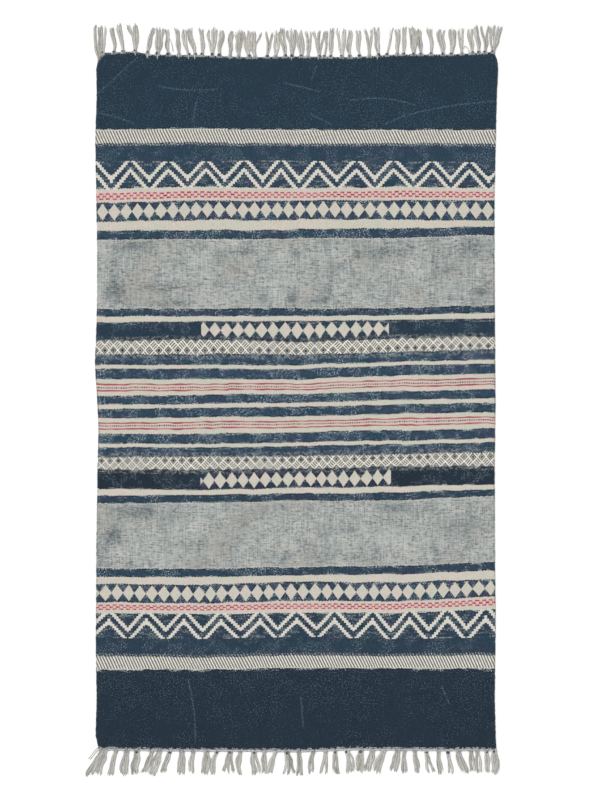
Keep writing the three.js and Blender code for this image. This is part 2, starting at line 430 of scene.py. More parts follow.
def finish_surface(surface, colour, height, depth, roughness):
    """Joins up a cotton surface. The height of its relief is from 0 to 1, the depth in millimetres."""
    tree = colour.tree
    bump = add_node(tree, "Bump", {"Strength": 1.0, "Distance": depth * MM, "Height": height})
    for value, slot in ((colour, "Base Color"), (bump, "Normal"), (roughness, "Roughness")):
        tree.links.new(value.socket, surface.inputs[slot])
    surface.inputs["Specular IOR Level"].default_value = 0.12
    surface.inputs["Sheen Weight"].default_value = 0.08
    surface.inputs["Sheen Roughness"].default_value = 0.6


# Printed cloth
WARP_PITCH = 2.5
WEFT_PITCH = 1.9
WEAVE_RELIEF = 0.35
STAMP_WIDTH = 123
STAMP_START = -242
STAMP_LOWER_SHIFT = 60
DESIGN_REACH = 640
SQUEEZE = 1.7
BLEED = 0.5
DRAW_IN = 1.0
SPILL = 4.5

# Bands of the design from the middle line out: where each starts, whether it is bare cream, whether that
# is washed grey, and how deep its navy is.
BANDS = [
    (0, 1, 0, 0), (4, 0, 0, 0.1), (17.6, 1, 0, 0), (47.2, 0, 0, 0.1),
    (63.4, 1, 0, 0), (71, 0, 0, 0.1), (88.3, 1, 0, 0), (112, 0, 0, 0.8),
    (146.5, 1, 0, 0), (156.5, 0, 0, 0.25), (169.5, 1, 1, 0), (289, 0, 0, 0.2),
    (304, 1, 0, 0), (318.8, 0, 0, 0.2), (351.6, 1, 0, 0), (373, 0, 0, 0.35),
    (451.2, 1, 0, 0), (473, 0, 0, 1),
]


class Design:
    """Places in the printed design at a point of the cloth, as values of a material.

    lower is 1 in the lower half and over where the warp is on top. steady is the distance from the middle
    line, reach the same with ragged edges, and across the place along a row.
    """

    def __init__(self, tree, ragged):
        self.tree = tree
        place = split(add_node(tree, "UVMap", uv_map="print"))
        x, y = place[0] / MM, place[1] / MM
        self.x, self.along = x, y
        self.lower = y.below(0)
        self.over = (x.cell(WARP_PITCH) + y.cell(WEFT_PITCH)).modulo(2)
        stamp = (x - STAMP_START - self.lower * STAMP_LOWER_SHIFT).cell(STAMP_WIDTH)
        wave = patches(x, y, (48, 60), 1) - 0.5
        shift = chance(stamp, y.cell(40), 5) - 0.5
        self.steady = abs(y) + ragged * (wave * 1.5 + shift * 1.1) + DRAW_IN
        tooth = chance(x.cell(WARP_PITCH), y.cell(30), 3) - 0.5
        ripple = patches(x, y, (14, 40), 4) - 0.5
        self.reach = self.steady + ragged * (tooth * 0.8 + (self.over - 0.5) * 0.8 + ripple * 0.7)
        drift = patches(x, y, (70, 300), 2) - 0.5
        self.across = x + ragged * drift * 2.6

    def bands(self, shift=0.0):
        """Share of cream, share of grey and depth of navy here, or a little further out."""
        node = self.tree.nodes.new("ShaderNodeValToRGB")
        node.color_ramp.interpolation = "CONSTANT"
        stops = node.color_ramp.elements
        while len(stops) < len(BANDS):
            stops.new(1)
        for stop, (start, *weights) in zip(stops, BANDS):
            stop.position = start / DESIGN_REACH
            stop.color = (*weights, 1)
        share = (self.reach + shift) / DESIGN_REACH
        self.tree.links.new(share.socket, node.inputs[0])
        return split(Sum(self.tree, node.outputs[0]))

    def cream_beside(self, shift):
        """Share of cream a little further out and a little nearer the middle line."""
        return [self.bands(side)[0] for side in (shift, -shift)]


ZIGZAG_PITCH = 66.2
ZIGZAG_PEAK = -290.9
ZIGZAG_LOWER_SHIFT = 4.8
ZIGZAG_STEP = 3.6
ZIGZAG_SLOPE = 1.09
ZIGZAG_EDGE = 419
ZIGZAG_DEPTH = 46
OUTER_LINE = (-9.6, -1.5)
INNER_LINE = (10.9, 19.4)
INNER_PEAK = 12.5
FOOT = (-11.5, 0)
FOOT_HALF_WIDTH = 2.5


def zigzag(design):
    """Two pale lines that climb in steps to the peaks, where the row's edge cuts off the outer one."""
    place = design.across - ZIGZAG_PEAK + design.lower * ZIGZAG_LOWER_SHIFT
    run = place.from_nearest(ZIGZAG_PITCH)
    depth = design.steady * -1 + ZIGZAG_EDGE
    level = depth - run.in_steps(ZIGZAG_STEP) * ZIGZAG_SLOPE
    foot = level.between(*FOOT) * run.above(ZIGZAG_PITCH / 2 - FOOT_HALF_WIDTH)
    outer = level.between(*OUTER_LINE).either(foot)
    inner = level.between(*INNER_LINE) * depth.above(INNER_PEAK)
    faint = patches(design.x, design.along, 30, 7).ramp(0.6, 0.95, 0, 0.3)
    dashes = depth.between(-0.5, 2.2) * chance(design.x.cell(1.8), 8).above(0.5) * faint
    return (outer.either(inner) * depth.between(0, ZIGZAG_DEPTH)).either(dashes)


HATCH_PITCH = 5.15
HATCH_LEAN = 0.46
HATCH_BAND = (451.7, 473.2)
HATCH_FEATHER = 5


def hatch_lines(design):
    """Share of the dark slanting lines, which keep the same lean in both bands."""
    slant = design.across + design.along * HATCH_LEAN
    return slant.from_nearest(HATCH_PITCH).ramp(0.85, 1.75, 1, 0)


DIAMOND_PITCH = 20.5
DIAMOND_HALF_WIDTH = 10.7
DIAMOND_HALF_HEIGHT = 14.4
DIAMOND_ROW_REACH = 16
# Rows of diamonds: distance from the middle line, where the upper and the lower row start, and how much
# the lower one is drawn in.
LONG_ROW = (336.5, -340.2, -334.9, 0)
SHORT_ROW = (131.5, -141.3, -153.4, 0.0327)
SHORT_ROW_HALF_LENGTH = 164.5


def diamonds(design, centre, start, lower_start, lower_stretch):
    """How far out of the nearest diamond this is, from -1 at its middle, and the number of its gap."""
    place = design.across - start + design.lower * (start - lower_start)
    place = place * (design.lower * lower_stretch + 1)
    run = place.from_nearest(DIAMOND_PITCH).in_steps(WARP_PITCH / 2)
    rise = abs(design.steady - centre)
    outside = run / DIAMOND_HALF_WIDTH + rise / DIAMOND_HALF_HEIGHT - 1
    return outside, place.cell(DIAMOND_PITCH)


LOZENGE_PITCH = 16.1
LOZENGE_CENTRE = 96.5
LOZENGE_START = -336.8
LOZENGE_LOWER_SHIFT = 6.0
LOZENGE_LOWER_STRETCH = 0.0095
LOZENGE_BAND = (86, 115)
LOZENGE_DOT = 3.8
LATTICE_HALF_WIDTH = 1.6
LINE_PITCH = LOZENGE_PITCH / 3
LINE_STRENGTH = 0.9
SPLIT_STRENGTH = 0.3


def lozenge_lines(design):
    """Share of the dark lines of a net of lozenges. Those of every second row are crossed by bars.

    The others hold a ring round a dot, which is faintly split in four in every second one.
    """
    place = design.across - LOZENGE_START + design.lower * LOZENGE_LOWER_SHIFT
    place = place * (design.lower * LOZENGE_LOWER_STRETCH + 1)
    rise = design.steady - LOZENGE_CENTRE
    slants = place - rise, place + rise
    cells = [(slant / LOZENGE_PITCH).nearest() for slant in slants]
    off = [slant.from_nearest(LOZENGE_PITCH) for slant in slants]
    both = cells[0] + cells[1]
    ring = off[0].either(off[1])
    barred = both.modulo(2)
    lean = (both / 2).whole().modulo(2)
    bar = lean * off[0] + lean.flipped() * off[1]
    across = barred * bar + barred.flipped() * ring
    lines = across.from_nearest(LINE_PITCH).ramp(1.0, 1.75, 1, 0)
    lines = lines * ring.below(LOZENGE_PITCH / 2 - LATTICE_HALF_WIDTH)
    lines = lines * (barred.flipped() * ring.below(LOZENGE_DOT - 0.1)).flipped() * LINE_STRENGTH
    own = chance(cells[0], cells[1], design.lower + 9)
    dots = (ring + own * 0.5).ramp(LOZENGE_DOT - 0.8, LOZENGE_DOT, 1, 0)
    dots = dots * own.ramp(0.5, 1, 1, 0.8) * barred.flipped()
    cross = lean * off[0].both(off[1]).below(0.3) * ring.below(3.4)
    return lines.either(dots * (cross * SPLIT_STRENGTH).flipped())


CHAIN_PITCH = 11.8
CHAIN_START = -330.5
CHAIN_CENTRE = 362.5
CHAIN_ROW = 3.7
CHAIN_REACH = 6
OUTER_DASH = 3.5
MIDDLE_DASH = 3.2
DASH_HALF_WIDTH = 1.3


def red_chain(design):
    """Three rows of red dashes, those of the middle row between those of the others, and its distance."""
    away = abs(design.steady - CHAIN_CENTRE)
    place = design.across - CHAIN_START
    run = place.from_nearest(CHAIN_PITCH)
    outer = run.below(OUTER_DASH) * away.near(CHAIN_ROW, DASH_HALF_WIDTH)
    middle = run.above(CHAIN_PITCH / 2 - MIDDLE_DASH) * away.below(DASH_HALF_WIDTH)
    slant = (run * -1 + CHAIN_PITCH / 2) * (2 * CHAIN_ROW / CHAIN_PITCH)
    link = abs(away - slant).ramp(0.2, 1.4, 0.3, 0)
    own = chance(place.cell(CHAIN_PITCH / 2), design.steady.cell(2.8), 10)
    return (outer.either(middle) * own.ramp(0, 1, 0.65, 1)).either(link), away


RED_BAND = (18.5, 47.5)
RED_LINES = (28.6, 38.4)
RED_MARGIN = 1.5
DOT_ROW = 33.2
DOT_PITCH = 4.14


def red_lines(design):
    """Two thin red lines, the row of dots between them and the pink ground of both."""
    weight = patches(design.x, design.along, (30, 200), 11)
    wobble = (patches(design.x, design.along, (16, 60), 12) - 0.5) * 0.7
    place = design.steady + wobble
    low, high = RED_LINES
    lines = abs(abs(place - (low + high) / 2) - (high - low) / 2)
    lines = (lines - weight * 0.7).ramp(0.5, 1.2, 1, 0) * weight.ramp(0, 1, 0.8, 1)
    own = chance((design.across / DOT_PITCH).nearest(), design.along.cell(30), 13)
    dots = design.across.from_nearest(DOT_PITCH) + abs(place - DOT_ROW)
    dots = dots.ramp(1.3, 2.4, 1, 0) * own.ramp(0, 1, 0.6, 1)
    return lines, dots, place.between(low - RED_MARGIN, high + RED_MARGIN)


# Old folds in the navy ends: where each starts and ends, and how far its middle bows to the left.
CREASES = [
    ((-350, 536), (-278, 601), 0), ((-242, 550), (-137, 544), -5), ((-348, 504), (-283, 483), 2),
    ((-174, 525), (-181, 485), 0), ((-22, 557), (43, 541), 0), ((27, 562), (37, 587), 0),
    ((95, 525), (210, 517), 8), ((192, 499), (351, 524), 4), ((157, 484), (192, 499), 0),
    ((25, 502), (64, 483), 0), ((-190, -490), (-177, -600), 4), ((9, -525), (13, -578), 0),
    ((256, -504), (270, -536), 0),
]
CREASE_WIDTH = 2.6


def creases(x, y):
    """How close this place is to an old fold, from 0 to 1."""
    place = joined(x, y)
    found = None
    for (x0, y0), (x1, y1), bow in CREASES:
        length = math.hypot(x1 - x0, y1 - y0)
        ahead = ((x1 - x0) / length, (y1 - y0) / length, 0)
        aside = (-ahead[1], ahead[0], 0)
        start = add_node(x.tree, "VectorMath", [place, (x0, y0, 0)], operation="SUBTRACT")
        along = add_node(x.tree, "VectorMath", [start, ahead], output=1, operation="DOT_PRODUCT")
        off = add_node(x.tree, "VectorMath", [start, aside], output=1, operation="DOT_PRODUCT")
        curve = along * (along * -1 + length) * (4 * bow / length**2)
        line = abs(off - curve).ramp(0, CREASE_WIDTH, 1, 0) * along.between(0, length)
        found = line if found is None else found.either(line)
    return found


def weave(x, y):
    """Plain weave: threads that pass over and under each other."""
    warp = (x * (math.pi / WARP_PITCH)).cosine()
    weft = (y * (math.pi / WEFT_PITCH)).cosine()
    return abs(warp * weft)


class Grain:
    """Random values for the materials of the cloth: soft patches from wide to small, and single threads."""

    def __init__(self, x, y, seed):
        self.wide = patches(x, y, 90, seed)
        self.middle = patches(x, y, 28, seed + 1, 2.0)
        self.small = patches(x, y, (7, 5), seed + 2, 2.0)
        self.tint = patches(x, y, (55, 18), seed + 3, 2.0)
        self.thread = chance(x.cell(WARP_PITCH), y.cell(WEFT_PITCH), seed + 4)
        self.fleck = patches(x, y, (2.3, 2.1), seed + 5)
        self.streak = patches(x, y, (2.6, 40), seed + 6, 2.0)


def navy_colour(design, grain, deep, rim, folds):
    """Navy dye: deep at the ends, worn between the pale bands, darker at the rim of what the block left."""
    ends = deep.above(0.9)
    worn = grain.tint.blend(dye(41, 75, 90), dye(58, 72, 98))
    full = (grain.wide * 0.3 + design.lower * 0.7).blend(dye(35, 55, 70), dye(29, 43, 56))
    navy = (deep + design.lower * deep * 0.35).blend(worn, full)
    dull = grain.fleck * 0.5 + grain.small * 0.5
    navy = (dull.ramp(0.1, 0.9, 0.35, 0) * (ends * -0.6 + 1)).blend(navy, dye(26, 36, 48))
    navy = (rim * 0.7).blend(navy, dye(27, 38, 52))
    thin = grain.middle.ramp(0.2, 0.9) * 0.6 + grain.streak * 0.25
    rubbed = design.over * grain.thread.above(0.5) * thin * (deep.ramp(0.1, 0.35, 1, 0.3) - ends)
    faded = grain.fleck.above(0.5) * folds * 0.5
    navy = rubbed.either(faded).blend(navy, dye(96, 120, 138))
    near_hatch = design.reach.ramp(480, 590, 0.35, -0.1)
    cloud = grain.wide * 0.08 + grain.middle * 0.1 + near_hatch * 0.1 + grain.streak * 0.05
    specks = (grain.fleck + cloud).ramp(1.0, 1.15) * ends
    navy = (specks * 0.4).blend(navy, dye(104, 134, 154))
    bald = grain.fleck.ramp(0.84, 0.94) * grain.middle.ramp(0.4, 0.75, 0, 0.85)
    return (bald * (deep.ramp(0.2, 0.35, 1, 0.4) - ends)).blend(navy, dye(170, 180, 182))


def wash_colour(design, grain, smudges):
    """Grey wash, with streaks along both sets of threads and the dark clouds of old stains."""
    x, y = design.x, design.along
    across = patches(x, y, (26, 2.2), 25, 2.0)
    weft = patches(x, y, (11, 1.8), 26, 2.0)
    shade = grain.wide * 0.25 + grain.middle * 0.2 + grain.small * 0.2 + across * 0.4 + grain.streak * 0.35
    shade = shade + grain.thread * 0.45 + grain.fleck * 0.35 - 0.35
    wash = shade.ramp(0.2, 1.35).blend(dye(205, 204, 198), dye(114, 122, 124))
    wash = (grain.tint * 0.35).blend(wash, dye(150, 166, 165))
    wash = grain.wide.ramp(0.5, 1, 0, 0.3).blend(wash, dye(190, 182, 172))
    patch = smudges * (grain.fleck * 0.6 + weft * 0.6 + grain.small * 0.5)
    wash = patch.blend(wash, dye(64, 80, 88))
    spots = weft.ramp(0.55, 0.95) * grain.small.ramp(0.35, 0.8, 0.08, 0.7)
    return spots.blend(wash, dye(84, 94, 98))


def add_dark_lines(design, grain, colour, cream, bare, bright):
    """The dark lines of the lozenges and of the slanting hatch, on their bright ground."""
    dark = grain.small.blend(dye(20, 24, 26), dye(58, 60, 58))
    in_hatch = design.reach.between(*HATCH_BAND)
    in_lozenges = design.reach.between(*LOZENGE_BAND) * cream
    colour = (in_hatch + in_lozenges).blend(colour, bright)
    lines = lozenge_lines(design)
    colour = (lines * in_lozenges).blend(colour, dark)
    hatch = hatch_lines(design)
    colour = (hatch * in_hatch * 0.82).blend(colour, dark)
    feather = design.reach.between(HATCH_BAND[0] - HATCH_FEATHER, HATCH_BAND[0])
    feather = feather * hatch.flipped() * grain.fleck.above(0.5)
    colour = (feather * 0.6).blend(colour, bare)
    spilt = design.reach.between(LOZENGE_BAND[0] - SPILL, LOZENGE_BAND[1] + SPILL)
    spilt = spilt * in_lozenges.flipped() * lines.flipped() * grain.small.ramp(0.35, 0.75)
    return (spilt * 0.3).blend(colour, bare)


def add_reds(design, grain, colour):
    """The red chain and the red lines, on their pink ground."""
    red = grain.small.blend(dye(142, 36, 58), dye(174, 70, 84))
    chain, away = red_chain(design)
    colour = away.ramp(4.8, 7.6, 0.8, 0).blend(colour, dye(224, 187, 183))
    colour = (chain * away.below(CHAIN_REACH)).blend(colour, red)
    lines, dots, ground = red_lines(design)
    in_band = design.reach.between(*RED_BAND)
    colour = (ground * in_band * 0.4).blend(colour, dye(224, 192, 184))
    colour = (lines * in_band * 0.9).blend(colour, red)
    return (dots * in_band * 0.95).blend(colour, dye(80, 30, 40))


def wear_edges(design, grain, colour, from_side, from_end):
    """Bare weft at the bottom end, and outermost warp threads that took less or more dye."""
    frayed = (from_end - grain.small * 4).ramp(-1, 0.6, 1, 0) * grain.fleck.above(0.3) * design.lower
    colour = (frayed * 0.85).blend(colour, dye(188, 192, 194))
    own = chance(design.along.cell(3.8), design.x.above(0), 28)
    dashes = from_side.between(0.9, 2.6) * own.ramp(0.2, 0.8)
    return (dashes * 0.5).blend(colour, dye(70, 72, 78))


def diamond_rows(design):
    """How far out of the nearest diamond this is, how far it is in a row of them, and its gap's chance."""
    long_row, long_gap = diamonds(design, *LONG_ROW)
    short_row, short_gap = diamonds(design, *SHORT_ROW)
    in_long = design.steady.near(LONG_ROW[0], DIAMOND_ROW_REACH)
    in_short = design.steady.near(SHORT_ROW[0], DIAMOND_ROW_REACH)
    in_short = in_short * design.across.near(design.lower - 1, design.lower * 3 + SHORT_ROW_HALF_LENGTH)
    in_rows = in_long + in_short
    far = [design.steady.between(row[0], row[0] + DIAMOND_ROW_REACH) for row in (LONG_ROW, SHORT_ROW)]
    own = chance(long_gap + short_gap * 7, far[0] + far[1], design.lower + 29)
    return long_row * in_long + short_row * in_short + in_rows.flipped(), in_rows, own


def printed_material():
    """The upper side of the cloth, with the whole print."""
    material, tree, surface = new_material("printed_cotton")
    design = Design(tree, 1.0)
    x, y = design.x, design.along
    grain = Grain(x, y, 21)
    smudges, from_side, from_end = split(add_node(tree, "Attribute", attribute_name="wear", output=1))
    cream, grey, deep = design.bands()
    further, nearer = design.cream_beside(SQUEEZE)
    for side in design.cream_beside(BLEED):
        cream = cream * side
    outside, in_rows, gap_chance = diamond_rows(design)
    climbing = zigzag(design)
    pale = cream.either(climbing).either(outside.below(0))
    rim = further.either(nearer).either(outside.ramp(0.05, 0.4, 1, 0))

    # Cream and navy.
    bare = grain.tint.blend(dye(206, 208, 192), dye(220, 207, 198))
    bare = (grain.thread.ramp(0.4, 1, 0, 0.3) + grain.fleck * 0.12).blend(bare, dye(150, 146, 134))
    bright = grain.small.blend(dye(236, 234, 226), dye(218, 215, 204))
    bare = (climbing * 0.45).blend(bare, bright)
    navy = navy_colour(design, grain, deep, rim, creases(x, y))
    gap = gap_chance.blend(dye(36, 76, 92), dye(76, 66, 100))
    navy = (in_rows * outside.ramp(0.1, 0.5, 0, 0.4)).blend(navy, gap)
    beyond, before = design.cream_beside(SPILL)
    above = design.lower.flipped() * beyond + design.lower * before
    in_zigzag = design.steady.between(ZIGZAG_EDGE - ZIGZAG_DEPTH, ZIGZAG_EDGE)
    fuzz = rim * 0.8 + above * design.over * 0.8 + in_zigzag * 0.35
    fuzz = fuzz * grain.fleck.above(0.55) * patches(x, y, (22, 6), 27).ramp(0.5, 0.9)
    navy = fuzz.blend(navy, dye(184, 190, 186))
    colour = pale.blend(navy, bare)

    # Grey wash, fine lines, reds and wear.
    washed = grey * cream * (further.flipped().either(nearer.flipped()) * 0.75).flipped()
    colour = washed.blend(colour, wash_colour(design, grain, smudges))
    colour = add_dark_lines(design, grain, colour, cream, bare, bright)
    colour = add_reds(design, grain, colour)
    colour = wear_edges(design, grain, colour, from_side, from_end)
    lit = grain.thread * 0.5 + grain.fleck * 0.5
    colour = add_node(tree, "HueSaturation", {"Value": lit.ramp(0, 1, 0.88, 1.12), "Color": colour})
    height = weave(x, y) * 0.7 + grain.small * 0.3
    finish_surface(surface, colour, height, WEAVE_RELIEF, grain.small.ramp(0, 1, 0.82, 0.97))
    return material


def wrong_side_material():
    """The underside, where the dye shows through only faintly."""
    material, tree, surface = new_material("cotton_underside")
    design = Design(tree, 2.5)
    cream, grey, _ = design.bands()
    x, y = design.x, design.along
    grain = Grain(x, y, 41)
    bare = grain.middle.blend(dye(186, 182, 170), dye(200, 196, 184))
    bare = (grain.thread * 0.2).blend(bare, dye(140, 138, 130))
    seen = (cream.flipped() * 0.5 + grey * 0.12) * (grain.small * 0.5 + 0.6)
    colour = seen.blend(bare, dye(70, 88, 102))
    height = weave(x, y) * 0.7 + grain.small * 0.3
    finish_surface(surface, colour, height, WEAVE_RELIEF, grain.small.ramp(0, 1, 0.85, 0.98))
    return material


# Fringes
# Tassels as in the solids: distance from the one before, lean of the tip, letter of the bundle.
TOP_CHART = (
    "2-4f 21-4s 16-7s 21+0l 22+9s 18+4w 19-4s 18-4s 17-8s 12-12s 12-2s 18+5l 13+4s 18+4s 15-2w 18-6w "
    "11-5r 21+4v 15+2s 17-6s 12+1l 17-4w 11+2v 20-4y 9+2t 11-3s 20+5l 14+1s 17-2s 17+0v 16-8s 15+10t "
    "18-3s 11+2s 18-8w 13-2s 18-3s 21-4w 15+2w 18-2s 18-3s 12-4s 11+0v 14+6f"
)
BOTTOM_CHART = (
    "8-18F 22-9s 19-4w 18-3w 26-14s 13-13w 18-11s 22-2w 20-3s 23-3w 18-8s 24-2y 18-1s 24+5w 18-3s 19-9s "
    "21+3y 21+1s 25-3s 22-3v 17+3s 21+6w 24-3w 20-10w 20-12w 25-6w 12-1s 18+4s 20+8v 22+3s 16+4s 19+12w "
    "22+5s 11+2s 16+0s 14+1w"
)
BUNDLE = {
    "t": [0],
    "s": [-2.4, 2.4],
    "w": [-4.7, 0, 4.7],
    "v": [-5, 5],
    "y": [-8.5, 0, 8.5],
    "l": [-12, -2.4, 2.4],
    "r": [-2.4, 2.4, 11],
    "f": [-9, -3, 3, 9],
    "F": [-12, -6, 0, 6, 12],
}
TOP_LENGTH = 44
BOTTOM_LENGTH = 36
CORNER_EXTRA = 9
CORNER_REACH = 40
LENGTH_JITTER = 2.5
LOCK_LENGTH_JITTER = 2
LOCK_WIDTH = 4
LOCK_PITCH = 4.7
TASSEL_CLEARANCE = 1
KNOT_REACH = 1
KNOT_HALF_WIDTH = 4.2
PINCH_END = 0.42
# How wide the tassels of each end are, how far their locks are pinched in the knot, how often dye shows
# there, and how far the heading strip is drawn in between them.
TOP_MAKE = {"girth": 0.82, "pinch": 0.3, "dyed": 0.75, "draw": 1.0}
BOTTOM_MAKE = {"girth": 1.0, "pinch": 0.55, "dyed": 0.4, "draw": 0.5}
STRIP_WIDTH = 4
PART_GAP = 0.43

# Yarns of a lock: place across the lock and layer.
YARNS = [(-1.75, 0), (-0.6, 0), (0.55, 0), (1.7, 0), (-1.15, 1), (0.0, 1), (1.1, 1)]
YARN_RADIUS = 0.7
YARN_RINGS = 12
YARN_SIDES = 6
FIBRES = [(-2.1, 0), (0.3, 1), (1.2, 1), (2.2, 0)]
FIBRE_RADIUS = 0.24
FIBRE_RINGS = 9
FIBRE_SIDES = 4
YARN_FRAY = 1.8
FIBRE_FRAY = 4.2
LOCK_CURL = 3.2
TAPER_START = 0.84
YARN_RELIEF = 0.25
KNOT_RADIUS = 2.5
KNOT_STEPS = 14
FLOOR_GAP = 0.02
# The fan at the top left corner is rooted down the slant of the cloth: how far across and along each of
# its locks starts from the usual place.
CORNER_FAN = [(-4.5, -12.5), (-3, -9), (-1, -4.5), (0.5, -1.5)]
# A knot that slipped: its middle across and along, and its radius.
SLIPPED_KNOT = (92, -617, 2.2)
# Single yarns that strayed: their points across, along and up.
TOP_STRAYS = [
    [
        (292, 611, 2.2), (293, 620, 2.5), (297, 625.5, 2.2), (301, 624, 1.5), (304, 619, 1.2), (305, 612, 2),
    ],
    [(-216, 616, 3), (-219, 632, 2), (-226, 647, 1)],
]
BOTTOM_STRAYS = [
    [(-345, -607, 1.6), (-352, -612, 1.2), (-358, -620, 0.8), (-365, -629, 0.8)],
    [(-343, -609, 1.6), (-351, -616, 1.2), (-357, -624, 0.8), (-362, -630, 0.8)],
]


def tassels_of(chart, start, length, extra, seed):
    """Where each tassel of a chart stands, where its tip lies and how long it is."""
    tassels = []
    root = start
    free_from = -math.inf
    for index, word in enumerate(chart.split()):
        sign = max(word.find("+"), word.find("-"))
        tips = BUNDLE[word[-1]]
        root += float(word[:sign])
        lean = float(word[sign:-1])
        tip = max(root + lean, free_from + LOCK_WIDTH / 2 - tips[0])
        free_from = tip + tips[-1] + LOCK_WIDTH / 2 + TASSEL_CLEARANCE
        number = seed + index
        reach = length + extra * math.exp((start - root) / CORNER_REACH) + LENGTH_JITTER * jitter(number)
        tassels.append({"root": root, "tip": tip, "tips": tips, "length": reach, "number": number})
    return tassels


class YarnMesh:
    """The tubes of one fringe. Each point keeps its shade, how far along the yarn it is and its dye."""

    def __init__(self):
        self.points = []
        self.faces = []
        self.places = []
        self.materials = []

    def ring(self, centre, aside, above, size, sides, place):
        first = len(self.points)
        for side in range(sides):
            angle = 2 * math.pi * side / sides
            point = centre + aside * (size[0] * math.cos(angle)) + above * (size[1] * math.sin(angle))
            point.z = max(point.z, FLOOR_GAP)
            self.points.append(point)
            self.places.append(place)
        return list(range(first, first + sides))

    def tube(self, path, sizes, sides, shade, dyed=0, material=0, closed=False):
        """A tube along a path of points. sizes are the half width and half height at each point."""
        rings = []
        travelled = 0
        for index, centre in enumerate(path):
            before = path[index - 1] if index or closed else centre
            after = path[(index + 1) % len(path)] if index + 1 < len(path) or closed else centre
            ahead = (after - before).normalized()
            aside = ahead.cross(Vector((0, 0, 1)))
            if aside.length < 0.2:
                aside = Vector((1, 0, 0))
            aside.normalize()
            above = aside.cross(ahead).normalized()
            if index:
                travelled += (centre - path[index - 1]).length
            own = shade[index] if isinstance(shade, list) else shade
            rings.append(self.ring(centre, aside, above, sizes[index], sides, (own, travelled, dyed)))
        pairs = list(zip(rings, rings[1:]))
        if closed:
            pairs.append((rings[-1], rings[0]))
        for first, second in pairs:
            for a in range(sides):
                b = (a + 1) % sides
                self.faces.append([first[b], first[a], second[a], second[b]])
                self.materials.append(material)
        if not closed:
            self.faces.append(rings[0])
            self.faces.append(rings[-1][::-1])
            self.materials.extend([material, material])

    def bead(self, x, y, z, size, shade, dyed):
        """A small rounded lump."""
        half_width, half_length, half_height = size
        path = []
        sizes = []
        for step in range(6):
            angle = math.pi * (step + 0.3) / 5.6
            path.append(Vector((x, y - half_length * math.cos(angle), z)))
            sizes.append((half_width * math.sin(angle), half_height * math.sin(angle)))
        self.tube(path, sizes, 8, shade, dyed)

    def build(self, name, materials):
        piece = make_object(name, self.points, self.faces, materials, self.materials)
        keep_values(piece.data, "yarn", self.places)
        return piece


def smooth(share):
    share = min(max(share, 0), 1)
    return share * share * (3 - 2 * share)


def lock_offset(share, pitch, tip_offset, pinch):
    """How far a lock stands from the line of its tassel: pinched in the knot, spread where it leaves it."""
    if share < PINCH_END:
        return mix(pinch * pitch, pitch, smooth(share / PINCH_END))
    return mix(pitch, tip_offset, smooth((share - PINCH_END) / (1 - PINCH_END)))


def lay_lock(yarns, tassel, lock, base_y, direction, make):
    """The yarns and loose fibres of one lock, in two layers, each of its own length."""
    count = len(tassel["tips"])
    number = tassel["number"] + 0.31 * (lock + 1)
    length = tassel["length"] + LOCK_LENGTH_JITTER * jitter(number)
    pitch = LOCK_PITCH * (lock - (count - 1) / 2)
    bow = 2.3 * jitter(tassel["number"] + 0.7) + 1.2 * jitter(number + 0.9)
    sway = 1.1 * jitter(tassel["number"] + 0.4) + 0.9 * jitter(number + 0.2)
    curl = LOCK_CURL * jitter(number + 2.3)
    root_shift = tassel["roots"][lock] if "roots" in tassel else (0, 0)
    lock_shade = 0.55 + 0.25 * jitter(number + 5)
    for yarn, (slot, layer) in enumerate(YARNS + FIBRES):
        seed = number * 13 + yarn * 1.7
        fibre = yarn >= len(YARNS)
        radius = FIBRE_RADIUS if fibre else YARN_RADIUS * (1 + 0.16 * jitter(seed))
        own_length = length * (0.97 + 0.09 * jitter(seed + 1))
        phase = math.pi * jitter(seed + 2)
        fray = (FIBRE_FRAY if fibre else YARN_FRAY) * jitter(seed + 3)
        rings = FIBRE_RINGS if fibre else YARN_RINGS
        path = []
        sizes = []
        for ring in range(rings + 1):
            share = mix(-0.1, 1, ring / rings)
            spread = make["pinch"] + (0.92 - make["pinch"]) * smooth(share / 0.45)
            spread += 0.6 * smooth(-share * 12) - 0.08 * smooth((share - 0.6) / 0.4)
            wave = 0.5 * math.sin(8 * share + phase) * smooth(share * 4)
            wave += 2 * fray * max(share - 0.55, 0) ** 1.5 + 4 * curl * max(share - 0.6, 0) ** 2
            wave += sway * math.sin(2 * math.pi * share) * smooth(share * 3)
            x = mix(tassel["root"], tassel["tip"], share)
            x += lock_offset(share, pitch * make["girth"], tassel["tips"][lock], make["pinch"])
            x += slot * spread * make["girth"] + wave + bow * math.sin(math.pi * min(max(share, 0), 1))
            x += root_shift[0] * (1 - smooth(share))
            y = base_y + direction * share * own_length + root_shift[1] * (1 - smooth(share))
            lift = 1.2 * math.exp(-(((share - 0.03) / 0.14) ** 2))
            z = radius + layer * radius * 1.5 * (1 - 0.4 * max(share, 0)) + lift
            if fibre:
                z += 1.5 * (1 - share) + 0.5
            path.append(Vector((x, y, z)))
            taper = 1 if share < TAPER_START else mix(1, 0.35, (share - TAPER_START) / (1 - TAPER_START))
            sizes.append((radius * taper * 1.1, radius * taper * 0.94))
        shade = min(max(lock_shade + 0.4 * jitter(seed + 4), 0), 1)
        yarns.tube(path, sizes, FIBRE_SIDES if fibre else YARN_SIDES, shade)


